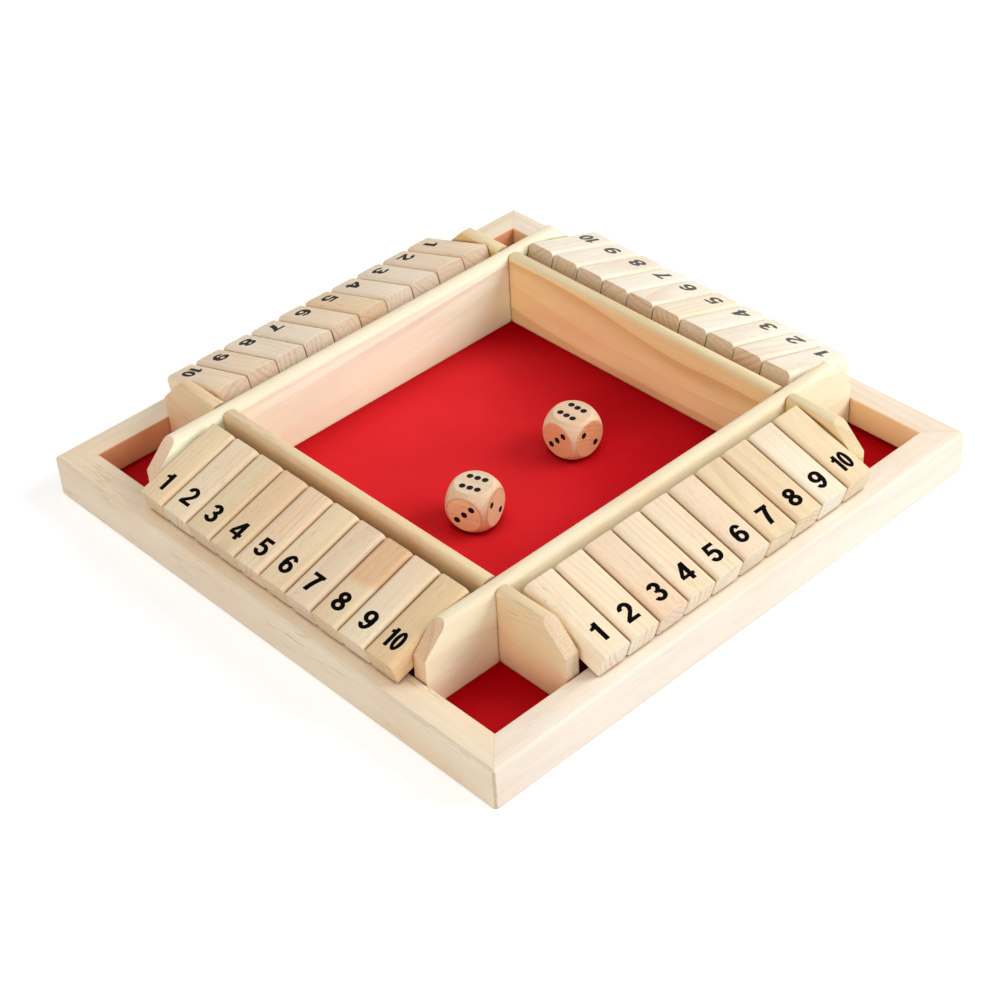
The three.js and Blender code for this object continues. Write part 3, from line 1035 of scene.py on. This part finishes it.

# The boards of the frame. inner_tone is for the faces that look to the game's middle, outer_tone for those
# that look away from it, foot_tone for the lower part of both, and end_tone for sawn ends. These, and the
# paler tones of the right and back rails, are mostly painted light and shade: red reflected from the felt,
# shade in the compartments, lit and shaded faces, and lighter feet where shade falls low on the walls.
# figure, ring_scale, flecked, blushed and wear are times what the wood has, and pith is as finish takes
# it.
BOARDS = {
    "rail_front": {
        "tone": (1.06, 1.06, 1.06),
        "outer_tone": (0.9, 0.9, 0.91),
        "figure": 0.3, "flecked": 1.2, "wear": 0.2,
    },
    "rail_right": {
        "tone": (1.02, 1.08, 1.24),
        "outer_tone": (0.96, 0.96, 0.98),
        "figure": 0.3, "flecked": 0.4, "wear": 0.2,
    },
    "rail_back": {
        "tone": (1.02, 1.04, 1.13),
        "inner_tone": (1.12, 0.97, 0.7),
        "figure": 0.5, "flecked": 0.4, "wear": 0.2,
    },
    "rail_left": {
        "tone": (1.07, 1.08, 1.09),
        "inner_tone": (0.76, 0.42, 0.29),
        "figure": 0.5, "flecked": 0.6, "wear": 0.2,
    },
    "divider_front": {
        "tone": (0.98, 0.9, 0.76),
        "outer_tone": (0.94, 0.89, 0.84),
        "foot_tone": (1.06, 1.08, 1.12),
        "end_tone": (1.06, 1.14, 1.36),
        "figure": 0.8, "flecked": 0.8,
    },
    "divider_right": {
        "tone": (1.05, 1.1, 1.08),
        "foot_tone": (1.06, 1.1, 1.12),
        "end_tone": (0.96, 0.76, 0.67),
        "figure": 0.5, "flecked": 0.4,
    },
    "divider_back": {
        "tone": (0.96, 0.94, 0.79),
        "inner_tone": (1.1, 0.99, 0.78),
        "foot_tone": (1.24, 1.32, 1.42),
        "pith": (56 * MM, math.pi / 2), "ring_scale": 1.4,
        "figure": 2.4, "flecked": 0.25,
    },
    "divider_left": {
        "tone": (1.06, 1.1, 1.1),
        "inner_tone": (1.0, 1.18, 1.29),
        "foot_tone": (1.08, 1.22, 1.15),
        "end_tone": (1.06, 0.85, 0.81),
        "figure": 0.5, "flecked": 0.25, "blushed": 0.05,
    },
}

# Of a die, inner_tone is for the planed flats of its sides, partly their own colour and partly painted
# shade and red reflected from the felt, and end_tone is painted light and shade on its end-grain faces
DICE_TONES = {
    "die_left": {
        "tone": (1.02, 1.0, 0.96),
        "inner_tone": (1.14, 1.2, 1.1),
        "end_tone": (0.86, 0.76, 0.76),
    },
    "die_right": {
        "tone": (0.98, 0.94, 0.88),
        "inner_tone": (0.97, 0.65, 0.5),
        "end_tone": (1.08, 1.15, 1.18),
    },
}


def build_flap(side, n, pose, shared, material):
    """A flap in place of its CAD node. Gives back where its number goes."""
    node = f"flap_{side}_{n}"
    chance = random.Random(node)
    sag = chance.uniform(0.0, FLAP_SAG)
    shift = (chance.uniform(-FLAP_ASIDE, FLAP_ASIDE), chance.uniform(-FLAP_OUT, 0.0), 0)
    pose = pose @ Matrix.Rotation(FLAP_TILT - sag, 4, "X") @ Matrix.Translation(shift)
    flap = new_object(f"wood_{node}", shared.copy())
    flap.matrix_world = pose
    finish(
        flap, material, node, turn=math.pi / 2, tone=TONES[FLAP_TONES[side][n - 1]],
        heart_tone=FLAP_HEART_TONES.get(node, NO_TONE), end_tone=FLAP_END_TONES[side],
        figure=chance.uniform(*FLAP_FIGURE))
    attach(flap, node)
    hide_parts(node)
    aside = chance.uniform(-NUMBER_ASIDE, NUMBER_ASIDE)
    along = chance.uniform(-NUMBER_ALONG, NUMBER_ALONG)
    return pose @ Matrix.Translation((aside, along - NUMBER_FROM_ROD, FLAP_THICKNESS / 2))


def build_number(side, n, pose, shared, print_ink):
    number = new_object(f"number_{side}_{n}", shared.copy())
    number.matrix_world = pose
    number.data.materials.append(print_ink)
    # How much painted glare greys this number
    number["glare_share"] = INK_GLARE[side]
    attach(number, f"flap_{side}_{n}")


def build_rows():
    """The flaps of all four rows, with their numbers."""
    pine = wood(
        "flap_pine", *FLAP_COLOURS, pitch=2.1 * MM, rings=0.2, swell=4 * MM, fibres=0.1,
        flecks=0.8, fleck_length=4 * MM)
    print_ink = ink()
    flap = flap_mesh()
    numbers = {n: number_mesh(n) for n in range(1, FLAPS_PER_ROW + 1)}
    joints = {joint["child"]: joint for joint in frame["joints"]}
    for i, side in enumerate(SIDES):
        for n, number in numbers.items():
            pivot = Vector(joints[f"flap_{side}_{n}"]["pos_m"])
            pose = Matrix.Translation(pivot) @ Matrix.Rotation(i * math.pi / 2, 4, "Z")
            number_pose = build_flap(side, n, pose, flap, pine)
            build_number(side, n, number_pose, number, print_ink)


def build_frame():
    """Gives the rails, dividers, rods and panel their finishes."""
    pine = wood(
        "frame_pine", *FRAME_COLOURS, pitch=4.6 * MM, rings=0.32, swell=7 * MM, flecks=0.8,
        fleck_length=9 * MM, sawn=(0.4, 0.75))
    panel = wood("plywood", *PANEL_COLOURS, pitch=9 * MM, rings=0.4, swell=12 * MM)
    rod_steel = steel()
    for i, side in enumerate(SIDES):
        turn = (i % 2) * math.pi / 2
        for kind, ease in (("rail", 0), ("divider", DIVIDER_EASE)):
            node = frame["nodes"][f"{kind}_{side}"]
            soften(node, ease)
            finish(node, pine, node.name, turn=turn, **BOARDS[node.name])
        rod = frame["nodes"][f"hinge_rod_{side}"]
        soften(rod, ROD_EASE)
        finish(rod, rod_steel, rod.name, turn=turn)
    base = frame["nodes"]["base_panel"]
    soften(base, PANEL_EASE)
    finish(base, panel, "base_panel", figure=1.2)


def build_felt():
    low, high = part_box("felt_liner")
    sheet = new_object("felt_sheet", felt_mesh(low, high))
    sheet.data.materials.append(felt_cloth())
    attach(sheet, "tray")
    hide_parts("felt_liner")


def build_dice():
    material = die_finish()
    shape = die_mesh()
    for node, turn in DICE_TURN.items():
        low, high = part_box(node)
        die = new_object(f"wood_{node}", shape.copy())
        die.matrix_world = Matrix.Translation((low + high) / 2) @ Matrix.Rotation(turn, 4, "Z")
        finish(die, material, node, **DICE_TONES[node])
        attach(die, node)
        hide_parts(node)


def build_stage():
    def build(made):
        corners = ((-1, -1), (1, -1), (1, 1), (-1, 1))
        made.faces.new([made.verts.new((x * FLOOR_HALF, y * FLOOR_HALF, 0)) for x, y in corners])

    floor = new_object("floor", mesh_of("floor", build))
    floor.data.materials.append(floor_white())


place_camera()
build_frame()
build_felt()
build_rows()
build_dice()
build_stage()
white_world()
for lamp_name, (toward, power) in LAMPS.items():
    area_light(lamp_name, toward, power)
bpy.context.scene.view_settings.view_transform = "Standard"
